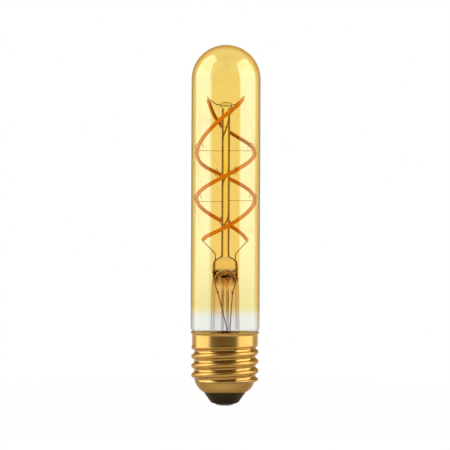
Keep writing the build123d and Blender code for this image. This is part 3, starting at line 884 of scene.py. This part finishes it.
# %% Cap and driver finishes
black_tones, black_sheen = ((0.007, 0.005, 0.0015), (0.011, 0.008, 0.0025)), (1.0, 0.85, 0.35, 1)
black_glass = uneven("black_glass", 0.3, black_tones, 150, rough_swing=0.02, Specular_Tint=black_sheen)
insulator.data.materials.append(black_glass)
solder_tones = ((0.88, 0.89, 0.93), (0.97, 0.98, 1.0))
contact.data.materials.append(uneven("solder", 0.4, solder_tones, 500, rough_swing=0.08, bump=0.3))
dress(uneven("cement", 0.9, ((0.42, 0.36, 0.28), (0.56, 0.49, 0.4)), 700, bump=0.6), "cap_cement")
dress(uneven("board", 0.5, ((0.05, 0.16, 0.07), (0.09, 0.24, 0.11)), 600), "driver_board")
moulding = uneven("moulding", 0.45, ((0.012, 0.012, 0.013), (0.025, 0.025, 0.027)), 800)
dress(moulding, "bridge_rectifier", "driver_chip")
dip_tones = ((0.3, 0.06, 0.03), (0.38, 0.09, 0.05))
dress(uneven("capacitor_coat", 0.3, dip_tones, 500), "smoothing_capacitor")
dress(uneven("resistor_coat", 0.4, ((0.12, 0.24, 0.33), (0.18, 0.31, 0.4)), 500), "fuse_resistor")

# %% [markdown]
# ## Floor
# The lamp stands on white paper. A matt white floor would come out grey beside a white background.
# So to the camera, and through glass, it is nearly all plain white, and a little of the lit paper
# with the lamp's shadow comes through. To everything else it is matt paper that throws light back on
# the cap.

# %% Floor disc
floor_reach = 160
floor_mesh = bpy.data.meshes.new("floor")
rim = oval(floor_reach, floor_reach, 0)
floor_mesh.from_pydata([p * MM for p in rim], [], [range(len(rim))])
floor = bpy.data.objects.new("floor", floor_mesh)
scene.collection.objects.link(floor)
print("floor", 2 * floor_reach, "mm across")

# %% Paper material
paper_white, plain_share = 0.86, 0.98


def seen_straight(tree):
    """1 for what the camera sees by itself or through glass, and 0 for what lights or is mirrored."""
    path = tree.nodes.new("ShaderNodeLightPath")
    either = add_node(tree, "ShaderNodeMath", operation="MAXIMUM")
    tree.links.new(path.outputs["Is Camera Ray"], either.inputs[0])
    tree.links.new(path.outputs["Is Transmission Ray"], either.inputs[1])
    return either.outputs["Value"]


paper = bpy.data.materials.new("paper")
paper.use_nodes = True
tree = paper.node_tree
tree.nodes.clear()
matt = add_node(tree, "ShaderNodeBsdfDiffuse", Color=(*grey(paper_white), 1))
white = add_node(tree, "ShaderNodeEmission", Color=(*WHITE, 1), Strength=1.0)
share = add_node(tree, "ShaderNodeMath", operation="MULTIPLY")
share.inputs[1].default_value = plain_share
blend = tree.nodes.new("ShaderNodeMixShader")
out = tree.nodes.new("ShaderNodeOutputMaterial")
tree.links.new(seen_straight(tree), share.inputs[0])
tree.links.new(share.outputs["Value"], blend.inputs["Fac"])
tree.links.new(matt.outputs["BSDF"], blend.inputs[1])
tree.links.new(white.outputs["Emission"], blend.inputs[2])
tree.links.new(blend.outputs["Shader"], out.inputs["Surface"])
floor_mesh.materials.append(paper)
print("paper nodes:", len(tree.nodes))

# %% [markdown]
# ## Room
# Behind the lamp the background is white, and it shows white through the glass as well. Brass and
# glass mirror the rest of the studio: a dim warm room, darker on the camera's side, with a pale
# table below the horizon. A photographed room would give the same, but two ramps over the direction
# are enough for so few shapes.

# %% Room that is mirrored
dim, dusk = (0.1, 0.07, 0.035), (0.12, 0.085, 0.045)
room_tones = [(0.0, dim), (0.4, dusk), (0.75, (0.3, 0.2, 0.09)), (1.0, (0.42, 0.27, 0.1))]
table_tones = [(0.0, dim), (0.5, dusk), (0.8, (0.6, 0.55, 0.45)), (1.0, (0.95, 0.9, 0.8))]
table_edge, table_full = -0.03, -0.045
world = bpy.data.worlds.new("studio")
scene.world = world
world.use_nodes = True
tree = world.node_tree
tree.nodes.clear()
axes = tree.nodes.new("ShaderNodeSeparateXYZ")
depth = add_node(tree, "ShaderNodeMapRange", From_Min=-1.0)
below = add_node(tree, "ShaderNodeMapRange", From_Min=table_edge, From_Max=table_full)
tree.links.new(tree.nodes.new("ShaderNodeTexCoord").outputs["Generated"], axes.inputs["Vector"])
tree.links.new(axes.outputs["Y"], depth.inputs["Value"])
tree.links.new(axes.outputs["Z"], below.inputs["Value"])
room = colour_ramp(tree, depth.outputs["Result"], room_tones)
table = colour_ramp(tree, depth.outputs["Result"], table_tones)
mirrored = mixed(tree, below.outputs["Result"], room, table)
print("nodes of the mirrored room:", len(tree.nodes))

# %% White background
sky = add_node(tree, "ShaderNodeMix", data_type="RGBA")
sky.inputs[7].default_value = (*WHITE, 1)
background = tree.nodes.new("ShaderNodeBackground")
out = tree.nodes.new("ShaderNodeOutputWorld")
tree.links.new(seen_straight(tree), sky.inputs["Factor"])
tree.links.new(mirrored, sky.inputs[6])
tree.links.new(sky.outputs[2], background.inputs["Color"])
tree.links.new(background.outputs["Background"], out.inputs["Surface"])
print("nodes of the room and the background:", len(tree.nodes))

# %% [markdown]
# ## Softboxes
# Two tall softboxes stand left and right of the lamp. Mirrored in the glass they make the pale bands,
# which a painted paler tone in the glass adds to, and they make the bright flanks of the brass.
# Glowing planes would do as well, but an area lamp keeps its size and its strength in one place, and
# is easily hidden from the camera. Each softbox is brighter at its top, so it is made of two lamps,
# one above the other. It reaches below the level of the table, so that its band on the glass doesn't
# end early.

# %% Softbox pairs
box_foot, box_middle, box_distance = -0.1, 0.2, 0.45
low_brightness, high_brightness = 1.65, 2.2
box_tint = (1.0, 0.97, 0.88)


def softbox(name, bearing, spread, foot, top, brightness):
    """Upright softbox that spans an angle at the lamp. Its bearing is from the camera, in degrees."""
    lamp = bpy.data.lights.new(name, "AREA")
    lamp.shape = "RECTANGLE"
    lamp.size = 2 * box_distance * math.tan(math.radians(spread / 2))
    lamp.size_y = top - foot
    lamp.energy = brightness * math.pi * lamp.size * lamp.size_y
    lamp.color = box_tint
    box = bpy.data.objects.new(name, lamp)
    turn = math.radians(bearing)
    box.location = (box_distance * math.sin(turn), -box_distance * math.cos(turn), (top + foot) / 2)
    box.rotation_euler = (math.radians(90), 0, turn)
    box.visible_camera = False
    box.visible_transmission = False
    scene.collection.objects.link(box)
    print(name, "watts", round(lamp.energy, 2))


for side, bearing, spread, top in (("left", -86.5, 63, 1.04), ("right", 79, 66, 0.72)):
    softbox(f"softbox_{side}", bearing, spread, box_foot, box_middle, low_brightness)
    softbox(f"softbox_{side}_high", bearing, spread, box_middle, top, high_brightness)

# %% [markdown]
# ## Camera
# The photograph looks as if it was taken level with the middle of the lamp, from about a metre away:
# the rim of the cap shows a flat ellipse, and the tube's sides stay parallel. A camera without
# perspective would show the rim as a straight line. The camera leans by a quarter of a degree.

# %% Camera
sensor, distance, frame_height, lean = 36, 1.0, 0.17474, -0.26
camera_shift, camera_height = -0.00018, 0.0701
lens = bpy.data.cameras.new("camera")
lens.sensor_width = sensor
lens.lens = sensor * distance / frame_height
camera = bpy.data.objects.new("camera", lens)
camera.location = (camera_shift, -distance, camera_height)
camera.rotation_euler = (math.radians(90), math.radians(lean), 0)
scene.collection.objects.link(camera)
scene.camera = camera
print("lens", round(lens.lens, 1), "mm")
